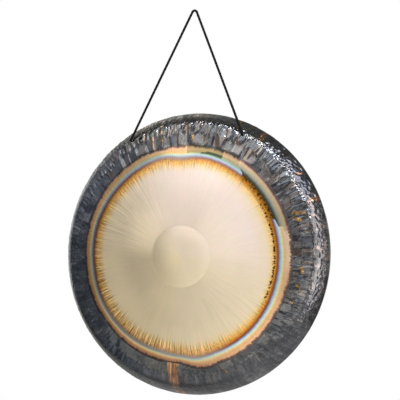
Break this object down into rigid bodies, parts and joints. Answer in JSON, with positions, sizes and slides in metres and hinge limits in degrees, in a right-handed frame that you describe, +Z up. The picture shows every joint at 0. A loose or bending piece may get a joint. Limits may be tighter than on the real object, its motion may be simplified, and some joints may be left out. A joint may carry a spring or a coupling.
{
  "type": "hanging planet gong",
  "caption": "Bossed planet gong with a hammered dark rim and a heat-tinted ring round a brushed face, slung on a black cord.",
  "frame": {"origin": "where the hook carries the cord, on the inside of its topmost bend", "axes": "+Z up, the gong's face towards -Y, +X to the right as one looks at the face"},
  "size_m": [0.7094, 0.0974, 0.9662],
  "materials": {
    "gong_metal": "nickel-silver sheet: brushed champagne face, heat-tinted ring, dark blue-grey hammered rim",
    "cord_black": "matt black braid"
  },
  "bodies": {
    "root": {"cord_bight": "cord_black"},
    "sling": {"cord_leg_left": "cord_black", "cord_leg_right": "cord_black"},
    "gong": {"gong_plate": "gong_metal", "cord_knot_left": "cord_black", "cord_knot_right": "cord_black"}
  },
  "joints": [
    {"name": "sling_swing", "type": "hinge", "parent": "root", "child": "sling", "pos_m": [0, 0, -0.007], "axis": [1, 0, 0], "range_deg": [-60, 60]},
    {"name": "gong_rock", "type": "hinge", "parent": "sling", "child": "gong", "pos_m": [-0.01364, 0, -0.31757], "axis": [0.9989, 0, 0.0471], "range_deg": [-90, 26]}
  ]
}
